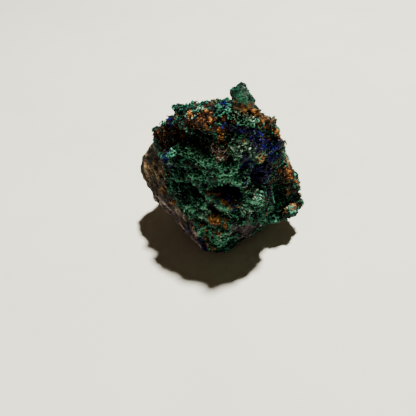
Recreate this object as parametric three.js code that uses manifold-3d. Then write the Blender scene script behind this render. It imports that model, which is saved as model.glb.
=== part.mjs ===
// A palm-sized malachite and azurite specimen: a broken lump of ironstone whose front is
// crusted with malachite, hollowed by caves and set with azurite and limonite nodules.
//
// Millimetres, +Z up. The crusted face looks towards -Y and a little to the left, and the
// broken flank looks to the left. The points below are measured from the lowest front corner
// of the rock, which touches the ground at 0,0,0. At the end everything is moved so that the
// origin is the middle of the base.

import * as THREE from 'three';
import Module from 'manifold-3d';
import { ConvexGeometry } from 'three/addons/geometries/ConvexGeometry.js';
import { ImprovedNoise } from 'three/addons/math/ImprovedNoise.js';
import { mergeVertices } from 'three/addons/utils/BufferGeometryUtils.js';

const wasm = await Module();
wasm.setup();

// Driving dimensions of the block

const BLOCK_CENTRE = [4, 10, 22];
const BLOCK_DETAIL = 14;
const EDGE_SHARPNESS = 22;
const BLOCK_SKIN = 0.3;
const BLOCK_ROUGHNESS = 1.1;
const BLOCK_GRAIN = 6;
const SWELL_BLEND = 0.7;

// Driving dimensions of the growths and hollows

const GROWTH_DETAIL = 1;
const GROWTH_ROUGHNESS = 0.22;
const GROWTH_GRAIN = 1.1;
const HOLLOW_DETAIL = 2;
const HOLLOW_ROUGHNESS = 0.2;
const CRUST_DETAIL = 3;
const CRUST_GAP = 0.35;
const CRUST_THICKNESS = 1;
const GROUND_SIZE = 80;
const MERGE_DISTANCE = 1e-4;

// Corners of the broken block under the crust

const CORNERS = [
  // Crest of the crusted face, from the foot of the horn to the left
  [11, -3, 44.5],
  [5, 0.5, 43],
  [-1, 5, 40.2],
  [-6.5, 9.8, 34.4],
  [-9, 12.6, 31],
  // Right shoulder, from the horn down to the lobe
  [13.4, -3, 42],
  [16.5, -2, 37.4],
  [18, -0.6, 30],
  [22.2, 4, 19],
  [24.8, 5.4, 12.5],
  [24.4, 5.6, 7.5],
  [18, 5.4, 4],
  // Ridge between the face and the flank
  [-8.8, 8.4, 27],
  [-7.8, 4.6, 21.5],
  [-6, 1.8, 14.5],
  [-3, 0, 5],
  // Middle of the face, which bulges
  [3, -1.8, 27],
  [10, -4.4, 33],
  [9, -4, 24],
  [8, -3.2, 12],
  // Flank
  [-15.6, 17.2, 19.8],
  [-17, 17.8, 14],
  [-13.8, 16, 8.5],
  [-8, 12.6, 2.6],
  // Top behind the crest
  [13.5, 8, 37.5],
  [4, 13, 35],
  [-5, 19.5, 27.5],
  [9.5, 20, 31],
  [18.5, 12, 29],
  // Back
  [-10, 24.5, 19],
  [-3, 27, 20],
  [8, 26.5, 23],
  [17, 21, 20],
  [22, 14, 12],
  [-8, 24, 7],
  [5, 26.5, 6],
  [17, 19.5, 4.5],
  // Base
  [-1.2, -1.6, -2.4],
  [-4.6, 3.6, -2.4],
  [6, 2.8, -2.4],
  [13, 5.6, -2.4],
  [16, 13, -2.4],
  [10, 22, -2.4],
  [-3, 21, -2.4],
  [-5, 11, -2.4],
];

// Every form below is an ellipsoid: its middle, its half sizes, its turn about the upright
// axis and its lean about the axis across it, in degrees.

// Swells of the crust that stand out from the block and run into it
const SWELLS = [
  // Along the crest
  { at: [7.2, 0.2, 41.2], size: [2.6, 2.6, 2.1] },
  { at: [4.4, 1.4, 41], size: [2.6, 2.6, 2.1] },
  { at: [1.8, 3.2, 39.8], size: [2.5, 2.5, 2] },
  { at: [-3, 7.2, 36.8], size: [1.9, 2, 1.9] },
  { at: [-4.8, 8.8, 34.4], size: [1.8, 1.9, 1.8] },
  { at: [-6.6, 10.6, 31.8], size: [1.8, 1.9, 1.8] },
  // In front of the crest, above the cave
  { at: [6.4, -1.2, 39.8], size: [2.7, 2.5, 1.8] },
  { at: [3.2, 0.4, 39.4], size: [2.6, 2.4, 1.7] },
  { at: [0.2, 2.6, 38.2], size: [2.4, 2.3, 1.7] },
  { at: [9.8, -2.8, 40.6], size: [2.6, 2.2, 2.4] },
  // Right shoulder
  { at: [12.6, -2.4, 41.4], size: [2, 1.9, 1.7] },
  { at: [14.2, -2, 38.8], size: [2.1, 2, 2] },
  { at: [15.5, -1.5, 35.8], size: [2, 2, 2.2] },
  { at: [16.4, -1.2, 32.2], size: [2, 2, 2.2] },
  { at: [17.4, -0.6, 28.8], size: [1.9, 2, 2.2] },
  // The grey-green dome between the azurite patches
  { at: [10.4, -3.2, 34.8], size: [4, 2.9, 2.8] },
  { at: [13.2, -2.8, 32.6], size: [2.4, 2.4, 2.2] },
  { at: [11.2, -3, 38.2], size: [2.8, 2.2, 1.6] },
  // Lower face
  { at: [11, -3.4, 22.6], size: [2.8, 2.4, 2.4] },
  { at: [11.6, -3, 19.4], size: [2.8, 2.4, 2] },
  { at: [7, -2.4, 13.8], size: [3.8, 2.2, 2.2] },
  { at: [9.6, -0.6, 9.8], size: [3.4, 2.4, 2] },
  { at: [-1.2, 0.4, 10], size: [2, 2, 2.4] },
  { at: [1.4, 0, 6.4], size: [2.2, 2, 2.6] },
  { at: [14.4, -1.6, 16.5], size: [1.9, 2, 3.8] },
  // Rim of the alcove on the right
  { at: [20.6, 4, 20.4], size: [2, 3.4, 2.8] },
  { at: [22.8, 5, 14.8], size: [1.9, 3.8, 3] },
  { at: [22.8, 5.2, 9], size: [2, 3.8, 2.8] },
  // Broken steps of the flank, the top and the back
  { at: [-11.8, 15.4, 19.4], size: [2.2, 3.4, 3.6], turn: 35 },
  { at: [-12, 14.8, 12], size: [2.2, 3.4, 2.8], turn: 35 },
  { at: [9, 11, 30], size: [7, 4, 6.4], turn: 20 },
  { at: [-1, 16.4, 24.6], size: [7, 5, 4.6], turn: -30 },
  { at: [8, 20, 21], size: [7.5, 6.2, 5.2], turn: 15 },
  { at: [-3, 19, 12], size: [6, 7.6, 5], turn: 20 },
  { at: [12, 17, 9], size: [6.4, 6.4, 4.4], turn: -25 },
  { at: [17, 9, 20], size: [4.2, 6.4, 4], turn: -10 },
];

// Growths that stand free of the block

const HORN = [
  { at: [10.4, -2.8, 44.8], size: [2.3, 2, 2.4] },
  { at: [10.2, -3.6, 46.6], size: [1.6, 1.5, 1.7] },
  { at: [9.2, -3.6, 46.8], size: [1.3, 1.1, 1.3] },
  { at: [10.5, -4.1, 47.9], size: [0.9, 0.8, 1.3] },
];

const KNOBS = [
  { at: [-1.2, 4.9, 40.2], size: [1.6, 1.5, 1.4] },
  { at: [-7.6, 10.4, 29.8], size: [1.5, 1.6, 1.7] },
  // Brown column beside the cave
  { at: [5.8, -1.3, 35.4], size: [1.5, 1.9, 2.8] },
  { at: [5.4, -2, 32.8], size: [1.9, 1.8, 1.6] },
];

const LEDGES = [
  { at: [-5.8, 5.4, 28.9], size: [2.5, 2.3, 1.3], turn: -40 },
  { at: [-3.2, 3, 29.9], size: [2.4, 2.5, 1.5], turn: -38 },
  { at: [-0.4, 0.6, 30.3], size: [2.5, 2.7, 1.3], turn: -36 },
  { at: [2.4, -1.2, 30.4], size: [2.4, 2.5, 1.5], turn: -28 },
  { at: [5.6, -2.6, 30.1], size: [2.7, 2.3, 1.3], turn: -16 },
  { at: [3.4, -2.2, 27.9], size: [2, 1.9, 1.1], turn: -20 },
  { at: [6, -3.2, 27.4], size: [2.2, 2, 1.3], turn: -14 },
  { at: [8.6, -3.6, 26.7], size: [1.8, 1.8, 1.2], turn: -8 },
];

const NODULES = [
  { at: [-1, 0.8, 25.6], size: [1.9, 1.8, 1.5] },
  { at: [-3.8, 1.7, 16.6], size: [1.8, 1.7, 1.6] },
  { at: [-0.8, 0, 18.4], size: [1.7, 1.6, 1.5] },
  { at: [2, -1.6, 13.3], size: [1.5, 1.5, 1.4] },
];

// Floor of the alcove on the right
const ALCOVE_FLOOR = { at: [18.2, 2.6, 8.4], size: [4.2, 3.4, 1.9] };

// The plank: a low ridge between the deep cavity and the recess under it
const PLANK = { at: [3.9, -2.3, 19.6], size: [3.4, 1.6, 1], turn: -22, lean: 34 };

// Hollows, cut with the same kind of ellipsoid

const AZURITE_HOLLOW = { at: [12.5, -2.8, 26.2], size: [3.2, 4.4, 2.4], turn: -8 };

const HOLLOWS = [
  // The cave under the crest
  { at: [-2.6, 3.4, 34], size: [5.2, 5.6, 3.2], turn: -40 },
  { at: [2.2, 0, 35.2], size: [3, 5.4, 3], turn: -40 },
  // The recess under the first ledge
  { at: [-5, 3.2, 26], size: [3.4, 3, 1.9], turn: -40 },
  { at: [-0.4, -0.6, 26.6], size: [3, 3, 1.6], turn: -38 },
  { at: [-4, 1.8, 21.4], size: [4, 2.8, 2.2], turn: -40 },
  // The dark slit above the round nodules
  { at: [-2, 0, 20.2], size: [3, 3, 1], turn: -38, lean: 10 },
  // The deep cavity above the plank
  { at: [6.4, -2.2, 22.2], size: [4.2, 6, 2.6], lean: 20 },
  // The recess under the plank
  { at: [2.2, -1.8, 16.2], size: [2.2, 3, 1.3], lean: 24 },
  // The alcove on the right, and the notch over it
  { at: [18.8, -0.8, 15.2], size: [3.4, 6, 5.8], turn: 8 },
  { at: [21.6, 0.4, 25.4], size: [2.2, 5, 2.8] },
  // A broken pit in the back
  { at: [3, 27, 17], size: [4, 3, 3] },
];

const noise = new ImprovedNoise();
const NOISE_ORIGIN = new THREE.Vector3(31.7, 11.3, 5.9);
const NOISE_OCTAVES = 3;

// Noise with finer, weaker noise on it, between about -1 and 1
function roughness(point, grain) {
  let total = 0;
  let weight = 1;
  let step = grain;
  for (let octave = 0; octave < NOISE_OCTAVES; octave += 1) {
    const place = point.clone().divideScalar(step).add(NOISE_ORIGIN);
    total += weight * noise.noise(place.x, place.y, place.z);
    weight *= 0.5;
    step *= 0.5;
  }
  return total;
}

function solidOf(geometry) {
  geometry.deleteAttribute('normal');
  geometry.deleteAttribute('uv');
  const merged = mergeVertices(geometry, MERGE_DISTANCE);
  return new wasm.Manifold(new wasm.Mesh({
    numProp: 3,
    vertProperties: new Float32Array(merged.attributes.position.array),
    triVerts: new Uint32Array(merged.index.array),
  }));
}

function geometryOf(solid) {
  const mesh = solid.getMesh();
  const geometry = new THREE.BufferGeometry();
  geometry.setAttribute('position', new THREE.BufferAttribute(mesh.vertProperties, 3));
  geometry.setIndex(new THREE.BufferAttribute(mesh.triVerts, 1));
  return geometry;
}

// Moves every vertex of a unit icosahedron to the place that the given function gives
function shapedBall(detail, placeOf) {
  const geometry = new THREE.IcosahedronGeometry(1, detail);
  const points = geometry.attributes.position;
  const direction = new THREE.Vector3();
  for (let i = 0; i < points.count; i += 1) {
    direction.fromBufferAttribute(points, i).normalize();
    const place = placeOf(direction);
    points.setXYZ(i, place.x, place.y, place.z);
  }
  return solidOf(geometry);
}

function turnOf({ turn = 0, lean = 0 }) {
  const { degToRad } = THREE.MathUtils;
  return new THREE.Quaternion().setFromEuler(new THREE.Euler(0, degToRad(lean), degToRad(turn), 'ZYX'));
}

// The flat planes through the corners of the block
function blockPlanes() {
  const hull = new ConvexGeometry(CORNERS.map((corner) => new THREE.Vector3(...corner)));
  const points = hull.attributes.position;
  const planes = [];
  for (let i = 0; i < points.count; i += 3) {
    const triangle = new THREE.Triangle().setFromAttributeAndIndices(points, i, i + 1, i + 2);
    planes.push(triangle.getPlane(new THREE.Plane()));
  }
  return planes;
}

// How far a ray from the block's centre runs before it leaves the flat faces, whose edges
// are a little worn
function blockReach(planes, centre, direction) {
  let sum = 0;
  for (const plane of planes) {
    const slope = plane.normal.dot(direction);
    if (slope > 0) {
      sum += (slope / -plane.distanceToPoint(centre)) ** EDGE_SHARPNESS;
    }
  }
  return sum ** (-1 / EDGE_SHARPNESS) + BLOCK_SKIN;
}

// How far the same ray runs before it leaves an ellipsoid, or 0 where it misses it
function swellReach(form, centre, direction) {
  const undo = turnOf(form).invert();
  const half = new THREE.Vector3(...form.size);
  const start = centre.clone().sub(new THREE.Vector3(...form.at)).applyQuaternion(undo).divide(half);
  const ray = direction.clone().applyQuaternion(undo).divide(half);
  const along = ray.dot(start);
  const inside = along ** 2 - ray.lengthSq() * (start.lengthSq() - 1);
  return inside > 0 ? (Math.sqrt(inside) - along) / ray.lengthSq() : 0;
}

// The larger of two lengths, with the step between them smoothed out
function blendedMax(a, b) {
  const blend = Math.max(SWELL_BLEND - Math.abs(a - b), 0) / SWELL_BLEND;
  return Math.max(a, b) + blend ** 2 * SWELL_BLEND / 4;
}

function block() {
  const centre = new THREE.Vector3(...BLOCK_CENTRE);
  const planes = blockPlanes();
  return shapedBall(BLOCK_DETAIL, (direction) => {
    let reach = blockReach(planes, centre, direction);
    for (const form of SWELLS) {
      reach = blendedMax(reach, swellReach(form, centre, direction));
    }
    const place = centre.clone().addScaledVector(direction, reach);
    return place.addScaledVector(direction, BLOCK_ROUGHNESS * roughness(place, BLOCK_GRAIN));
  });
}

// A rough ellipsoid. A shrink above 0 makes it smaller all round by that many millimetres.
function lump(form, detail, rough, shrink = 0) {
  const centre = new THREE.Vector3(...form.at);
  const half = new THREE.Vector3(...form.size);
  const mean = (half.x + half.y + half.z) / 3;
  const turned = turnOf(form);
  return shapedBall(detail, (direction) => {
    const arm = direction.clone().multiply(half).applyQuaternion(turned);
    const place = centre.clone().add(arm);
    const bump = rough * mean * roughness(place, GROWTH_GRAIN * mean);
    return place.addScaledVector(arm.normalize(), bump - shrink);
  });
}

function growth(form) {
  return lump(form, GROWTH_DETAIL, GROWTH_ROUGHNESS);
}

function hollow(form) {
  return lump(form, HOLLOW_DETAIL, HOLLOW_ROUGHNESS);
}

function azuriteHollow(shrink = 0) {
  return lump(AZURITE_HOLLOW, CRUST_DETAIL, HOLLOW_ROUGHNESS, shrink);
}

// A box far larger than the rock, whose top is the ground
function underground() {
  return solidOf(new THREE.BoxGeometry(GROUND_SIZE, GROUND_SIZE, GROUND_SIZE)
    .translate(0, 0, -GROUND_SIZE / 2));
}

// The box in front of the azurite crust, which opens it to the outside
function frontOfCrust() {
  const [x, y, z] = AZURITE_HOLLOW.at;
  return solidOf(new THREE.BoxGeometry(GROUND_SIZE, GROUND_SIZE, GROUND_SIZE)
    .translate(x, y - GROUND_SIZE / 2, z));
}

function rockSolid() {
  let solid = block();
  for (const form of HOLLOWS) {
    solid = solid.subtract(hollow(form));
  }
  for (const form of [HORN, KNOBS, LEDGES, NODULES, PLANK, ALCOVE_FLOOR].flat()) {
    solid = solid.add(growth(form));
  }
  return solid.subtract(azuriteHollow()).subtract(underground());
}

// Blue crystals that line one hollow: a shell inside it, open to the front
function azuriteCrust() {
  return azuriteHollow(CRUST_GAP)
    .subtract(azuriteHollow(CRUST_GAP + CRUST_THICKNESS))
    .subtract(frontOfCrust());
}

const rock = new THREE.Mesh(geometryOf(rockSolid()), new THREE.MeshStandardMaterial({
  color: 0x2f6f55,
  roughness: 0.8,
  metalness: 0,
}));
rock.name = 'rock';

const crust = new THREE.Mesh(geometryOf(azuriteCrust()), new THREE.MeshStandardMaterial({
  color: 0x17176e,
  roughness: 0.35,
  metalness: 0,
}));
crust.name = 'azurite_crust';

const group = new THREE.Group();
group.add(rock, crust);

// Moves the origin to the middle of the base
const bounds = new THREE.Box3().setFromObject(rock);
const middle = bounds.getCenter(new THREE.Vector3());
group.position.set(-middle.x, -middle.y, -bounds.min.z);

export default group;
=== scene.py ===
"""A malachite and azurite specimen, dressed over its solid model.

The rock's own solid is remeshed finely and roughened, then crusted with malachite curls, crumbs
of several minerals, azurite crystals and a limonite nodule. Shapes are worked out in millimetres
in the solid model's frame, and turned into metres in their meshes.
"""
import math

import bmesh
import bpy
import numpy as np
from mathutils import Matrix, Vector
from mathutils.bvhtree import BVHTree


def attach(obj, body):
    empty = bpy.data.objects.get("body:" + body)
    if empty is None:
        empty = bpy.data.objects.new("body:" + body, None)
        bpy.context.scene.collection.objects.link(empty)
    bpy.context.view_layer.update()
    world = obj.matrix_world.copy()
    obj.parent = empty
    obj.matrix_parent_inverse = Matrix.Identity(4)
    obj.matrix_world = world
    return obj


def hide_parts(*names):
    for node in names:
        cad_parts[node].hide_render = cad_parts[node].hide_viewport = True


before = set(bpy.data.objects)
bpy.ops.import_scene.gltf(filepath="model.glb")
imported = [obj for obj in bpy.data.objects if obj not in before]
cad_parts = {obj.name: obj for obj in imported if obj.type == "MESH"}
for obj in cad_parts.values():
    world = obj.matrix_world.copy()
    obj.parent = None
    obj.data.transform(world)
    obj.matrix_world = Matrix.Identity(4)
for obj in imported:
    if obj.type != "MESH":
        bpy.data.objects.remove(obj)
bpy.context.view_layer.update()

MM = 0.001
RANDOM = np.random.default_rng(20)

# The camera of the photograph, from the lowest front corner of the rock, in millimetres

FRONT_CORNER = np.array([-4.70, -10.20, 0.0])
CAMERA_FROM_CORNER = np.array([0.68, -76.31, 88.2])
CAMERA_PITCH = math.radians(43.4)
CAMERA_ROLL = math.radians(9.8)
PICTURE_SIZE = 416
FOCAL_PIXELS = 440.3
SENSOR_MM = 36.0

CAMERA_AT = FRONT_CORNER + CAMERA_FROM_CORNER
VIEW_AHEAD = np.array([0, math.cos(CAMERA_PITCH), -math.sin(CAMERA_PITCH)])
LEVEL_RIGHT = np.array([1.0, 0, 0])
LEVEL_UP = np.array([0, math.sin(CAMERA_PITCH), math.cos(CAMERA_PITCH)])
VIEW_RIGHT = math.cos(CAMERA_ROLL) * LEVEL_RIGHT - math.sin(CAMERA_ROLL) * LEVEL_UP
VIEW_UP = math.sin(CAMERA_ROLL) * LEVEL_RIGHT + math.cos(CAMERA_ROLL) * LEVEL_UP

# Where each mineral shows, as paths of pixels in the photograph and a half width in
# millimetres. Every path is dropped onto the rock, so it stays put from any side.

AZURITE = [
    ([(222, 103), (228, 106)], 0.4), ([(225, 125), (231, 127)], 0.6), ([(227, 133), (228, 137)], 0.6),
    ([(240, 126), (247, 130), (256, 138)], 0.9), ([(259, 142), (266, 144), (274, 147)], 1.4),
    ([(268, 152), (276, 156)], 1.2), ([(270, 160), (262, 166)], 0.6),
    ([(246, 162), (258, 164), (268, 168)], 1.1), ([(243, 168), (246, 178), (252, 184)], 1.0),
    ([(266, 172), (264, 180)], 0.9), ([(258, 186), (265, 191)], 1.1), ([(241, 186), (242, 198)], 0.9),
    ([(236, 168), (241, 171)], 0.5), ([(244, 155), (245, 158)], 0.7), ([(167, 157), (173, 163)], 1.3),
    ([(168, 118), (171, 121)], 0.5), ([(226, 199), (233, 206)], 0.4), ([(233, 207), (234, 209)], 0.4),
    ([(189, 226), (190, 228)], 0.3), ([(206, 154), (208, 156)], 0.3), ([(201, 238), (206, 246)], 0.4),
]
ORANGE = [
    ([(200, 116), (205, 121)], 0.6), ([(209, 117), (213, 121)], 0.5), ([(192, 127), (196, 129)], 0.5),
    ([(207, 112), (211, 114)], 0.4), ([(214, 101), (218, 104)], 0.5), ([(189, 113), (192, 115)], 0.4),
    ([(172, 110), (176, 114)], 0.5), ([(262, 136), (270, 141)], 0.5), ([(275, 130), (279, 136)], 0.5),
    ([(181, 131), (185, 133)], 0.8), ([(180, 138), (184, 139)], 0.4), ([(243, 108), (247, 109)], 0.8),
    ([(251, 111), (255, 113)], 0.8), ([(260, 155), (264, 159)], 0.9), ([(255, 161), (256, 162)], 0.5),
    ([(232, 153), (235, 157)], 0.6), ([(227, 162), (228, 163)], 0.3), ([(223, 201), (228, 205)], 0.55),
    ([(214, 217), (217, 219)], 0.7), ([(226, 228), (225, 223), (228, 218)], 0.5),
    ([(210, 246), (213, 247)], 0.9), ([(171, 199), (175, 203)], 0.9), ([(186, 223), (187, 226)], 0.4),
    ([(288, 174), (291, 178)], 0.8), ([(271, 225), (272, 226)], 0.4), ([(163, 150), (166, 152)], 0.3),
    ([(221, 130), (223, 137), (227, 145)], 0.6), ([(296, 180), (299, 186)], 0.4),
]
LIMONITE = [
    ([(198, 116), (206, 122)], 1.3), ([(209, 118), (214, 122)], 0.9), ([(169, 119), (175, 123)], 1.0),
    ([(174, 111), (176, 114)], 0.6), ([(174, 144), (182, 144)], 1.2), ([(163, 150), (171, 152)], 0.4),
    ([(221, 131), (224, 139), (227, 146)], 1.2), ([(250, 110), (256, 114)], 1.0),
    ([(261, 122), (266, 126)], 1.2), ([(276, 133), (280, 140), (282, 150)], 0.7),
    ([(259, 137), (266, 139)], 0.5), ([(222, 200), (228, 204)], 0.7), ([(215, 219), (216, 222)], 1.4),
    ([(224, 224), (228, 218)], 0.6), ([(205, 234), (209, 240)], 0.6), ([(209, 225), (213, 230)], 0.7),
    ([(262, 204), (266, 214)], 0.5), ([(286, 172), (291, 181)], 0.9), ([(300, 192), (300, 198)], 0.5),
    ([(292, 187), (297, 194)], 0.5), ([(287, 206), (282, 213)], 0.5), ([(263, 197), (266, 203)], 0.4),
    ([(153, 184), (162, 190)], 1.0), ([(160, 134), (166, 131)], 0.5), ([(176, 131), (184, 137)], 0.7),
    ([(239, 205), (240, 206)], 0.4),
]
RED_BROWN = [
    ([(153, 134), (158, 130), (163, 127)], 1.4), ([(161, 137), (168, 133), (173, 128)], 1.9),
    ([(162, 143), (169, 146), (176, 141)], 1.6), ([(170, 120), (178, 124)], 1.2),
    ([(186, 122), (200, 126), (215, 124)], 1.4), ([(192, 116), (208, 116)], 1.0),
    ([(225, 118), (236, 121)], 0.9), ([(189, 112), (196, 108)], 0.7), ([(205, 106), (214, 106)], 0.8),
    ([(262, 121), (266, 124)], 0.9), ([(213, 229), (217, 232)], 0.7), ([(207, 238), (209, 241)], 0.5),
    ([(270, 168), (277, 172), (273, 181)], 1.7), ([(278, 178), (286, 188)], 2.2),
    ([(284, 162), (290, 172)], 1.2), ([(268, 190), (270, 178)], 0.9), ([(292, 182), (299, 194)], 1.0),
    ([(230, 96), (231, 99)], 0.6), ([(234, 89), (236, 90)], 0.4),
    ([(208, 191), (216, 194), (224, 198), (230, 203)], 0.8),
]
TAN = [
    ([(258, 116), (266, 117), (273, 122)], 0.9), ([(145, 163), (150, 169)], 0.7),
    ([(144, 172), (148, 179)], 0.7), ([(157, 178), (160, 184)], 0.5),
    ([(240, 106), (247, 108), (252, 112)], 1.1), ([(232, 100), (236, 102)], 0.5),
    ([(276, 124), (280, 134), (283, 150)], 0.35), ([(285, 158), (292, 167), (298, 178), (300, 198)], 1.4),
    ([(285, 212), (291, 208), (298, 205)], 0.7), ([(277, 126), (282, 140), (283, 152)], 0.9),
    ([(212, 195), (218, 198)], 0.6), ([(292, 201), (297, 204)], 0.7), ([(282, 210), (287, 208)], 0.6),
    ([(214, 146), (220, 153)], 1.9), ([(203, 226), (212, 236)], 0.9), ([(207, 243), (213, 246)], 0.6),
    ([(160, 162), (162, 164)], 0.6), ([(204, 229), (210, 233)], 0.8), ([(203, 234), (206, 237)], 0.4),
    ([(254, 135), (262, 137)], 0.5), ([(167, 173), (168, 175)], 0.5), ([(163, 150), (164, 152)], 0.3),
]
GREY_MATRIX = [
    ([(241, 228), (254, 227), (247, 235)], 2.4), ([(218, 150), (228, 158)], 1.2),
    ([(249, 104), (252, 105)], 0.4), ([(235, 224), (238, 228)], 0.6),
]
# Where the green is pale: the crust's own paler green, and on the plank below the deep hollow and in the
# cave under the crest, painted light that makes shaded rock paler
PALE_AND_LIT_GREEN = [
    ([(238, 146), (250, 149), (259, 152)], 2.0), ([(233, 140), (238, 149)], 0.9),
    ([(231, 139), (233, 141)], 0.7), ([(236, 112), (250, 118)], 1.0), ([(243, 88), (245, 93)], 0.6),
    ([(201, 112), (190, 118)], 0.7), ([(206, 198), (214, 204), (226, 210)], 1.0),
    ([(222, 236), (234, 231)], 0.7), ([(206, 212), (202, 220)], 0.8), ([(240, 205), (250, 214)], 1.0),
    ([(250, 188), (258, 196)], 0.9), ([(192, 140), (206, 146)], 1.6),
]
# Where the green is lighter: partly the crust's own lighter green, partly painted light, mostly on the
# ledges, that also lifts the painted shade of hollows
BRIGHT_AND_LIT_GREEN = [
    ([(243, 86), (240, 90), (242, 97)], 1.6), ([(247, 91), (251, 99), (257, 104)], 1.0),
    ([(175, 153), (182, 154), (194, 155), (206, 160), (217, 161), (228, 165)], 1.2),
    ([(186, 149), (188, 151)], 0.5), ([(214, 173), (230, 169), (242, 177)], 1.0),
    ([(222, 176), (238, 181)], 1.0), ([(245, 186), (256, 186)], 0.8), ([(250, 200), (261, 201)], 0.9),
    ([(252, 190), (259, 194)], 0.8), ([(187, 207), (192, 208)], 0.6), ([(202, 204), (205, 208)], 0.9),
    ([(193, 177), (199, 176)], 1.1), ([(270, 212), (281, 205), (275, 218)], 0.7),
    ([(230, 114), (240, 117), (249, 121)], 1.2), ([(200, 216), (208, 219)], 0.7),
    ([(216, 238), (224, 234)], 0.8), ([(232, 214), (244, 212)], 0.8), ([(214, 146), (222, 152)], 1.6),
    ([(204, 232), (224, 240)], 1.6), ([(174, 153), (190, 153), (206, 158)], 1.0),
]

# Where the surface is bare and fine, and where the crust keeps the form of a round nodule

SMOOTH = [
    ([(242, 84), (238, 92), (236, 99)], 3.4), ([(244, 88), (248, 94), (252, 101)], 1.8),
    ([(246, 95), (252, 102), (262, 110), (270, 118)], 1.3), ([(243, 106), (252, 111)], 1.0),
    ([(243, 229), (252, 228)], 2.6), ([(212, 196), (220, 201), (228, 207)], 1.7),
    ([(286, 157), (293, 168), (298, 178), (300, 194)], 1.6), ([(277, 126), (282, 140), (284, 152)], 1.0),
]
ROUND = [
    ([(188, 208)], 1.9), ([(204, 207)], 1.7), ([(199, 176)], 2.0), ([(215, 220)], 2.2), ([(178, 104)], 1.6),
]

# Where the light of the photograph reaches into a hollow, so that its painted shade is mostly lifted there,
# and where the skin is built up (or, below 0, let in) by so many millimetres to follow the photograph

LIT = [
    ([(213, 146), (222, 152)], 2.4), ([(212, 193), (222, 198), (231, 205)], 1.4),
    ([(173, 153), (190, 153), (206, 158), (228, 164)], 1.6), ([(221, 131), (227, 146)], 1.4),
    ([(206, 196), (216, 202), (228, 208)], 1.6), ([(236, 144), (258, 150)], 2.0),
    ([(285, 160), (292, 174), (300, 190)], 1.0), ([(282, 208), (296, 202)], 0.9),
    ([(160, 134), (172, 131), (178, 144)], 1.8), ([(204, 230), (224, 240)], 2.0),
    ([(190, 138), (207, 146)], 2.2),
]
BUILT_UP = [
    ([(238, 86), (241, 87), (246, 90)], 1.3, 0.30), ([(248, 99), (251, 103)], 1.2, 0.45),
    ([(212, 193), (221, 197), (230, 204)], 1.4, 0.80),
    ([(178, 154), (190, 154), (206, 159), (228, 165)], 1.3, 0.75), ([(185, 153), (198, 155)], 1.3, 0.70),
    ([(214, 173), (230, 169), (242, 177)], 1.2, 0.30), ([(214, 146), (222, 152)], 1.8, 0.45),
    ([(224, 132), (226, 144)], 1.0, 0.40), ([(190, 226), (197, 239), (204, 247)], 1.3, 0.60),
    ([(255, 104), (261, 108), (268, 114)], 1.2, 0.60),
    ([(228, 242), (240, 239), (250, 237), (258, 233)], 1.2, -0.60),
    ([(290, 161), (296, 170), (299, 177)], 1.6, -1.20), ([(297, 199), (296, 204), (293, 209)], 1.6, 0.90),
]

# The limonite nodule low on the face: its pixel, and its radius in millimetres

NODULE_AT = (215, 220)
NODULE_RADIUS = 1.6

# The broken edge between the crusted face and the bare flank, in pixels

FLANK_EDGE = [
    (153, 134), (157, 150), (163, 162), (167, 182), (171, 199),
    (183, 210), (193, 220), (203, 236), (210, 248),
]

# Directions: out of the flank, out of the face, and along and across the flank's thin layers

FLANK_WAY = np.array([-0.45, 0.84, -0.30])
FACE_WAY = np.array([-0.05, -0.76, 0.65])
FLANK_ALONG = np.array([0.27, -0.36, -0.89])
FLANK_ACROSS = np.array([0.41, -0.79, 0.44])

# The skin's mesh and the lining's: the size of their faces in millimetres, and rounds of smoothing

SKIN_VOXEL = 0.29
SKIN_SMOOTHING = 6
BROAD_ROUNDS = 24
SKY_ROUNDS = 3
LINING_VOXEL = 0.12
LINING_SMOOTHING = 2

# The growths: how many, how far apart, and from how small to how large, in millimetres

CURL_COUNT = 1700
CURL_SPACING = 0.55
CURL_LENGTHS = (0.7, 1.7)
CURL_RADII = (0.11, 0.18)
CURL_BENDS = (1.2, 3.4)
CURL_LEANS = (-0.9, 0.9)
CURL_THICKNESS = (0.75, 1.25)
CURL_WOBBLE = 0.08
CURL_RINGS = 7
CURL_SIDES = 6
CRUMB_COUNT = 6400
CRUMB_PIECES = 3
CRUMB_SPACING = 0.33
CRUMB_RADII = (0.11, 0.31)
CRUMB_STRETCH = (0.6, 1.15)
CRUMB_SINK = 0.25
CRUMB_BUMPS = 0.35
CRUMB_DETAIL = 2
CRYSTAL_COUNT = 1500
CRYSTAL_SPACING = 0.32
CRYSTAL_LENGTHS = (0.4, 1.0)
CRYSTAL_SIDES = 6
CRYSTAL_TILT = 0.75
LINING_CRYSTALS = 420
LINING_LENGTHS = (0.5, 1.1)
LOWEST_GROWTH = 1.0
OTHER_MINERALS = ["grey", "tan", "red_brown", "limonite", "orange", "pale"]

# How much lighter or darker single growths are, and the lightest that they get before the painted shade of
# hollows

CURL_TONES = (-0.06, 0.42)
CRUMB_TONES = (-0.40, 0.36)
CRYSTAL_TONES = (-0.3, 0.6)
LINING_TONES = (-0.3, 0.5)
LIGHTEST = 0.66

# The minerals in grains: their patches, how ragged these are, the share that the grains cover, and a seed

GRAINS = {
    "tan": (TAN, 0.8, 0.8, 4),
    "red_brown": (RED_BROWN, 0.7, 0.8, 5),
    "limonite": (LIMONITE, 0.7, 0.65, 6),
    "orange": (ORANGE, 0.45, 0.85, 7),
    "azurite": (AZURITE, 0.7, 0.85, 8),
}
GRAIN_SIZE = 0.9
GRAIN_SEED = 40

# Heights in millimetres and shades of the crust's forms and of the bare rock's forms; the shades paint light
# where the forms stand up and shade in the crust's gaps

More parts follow.
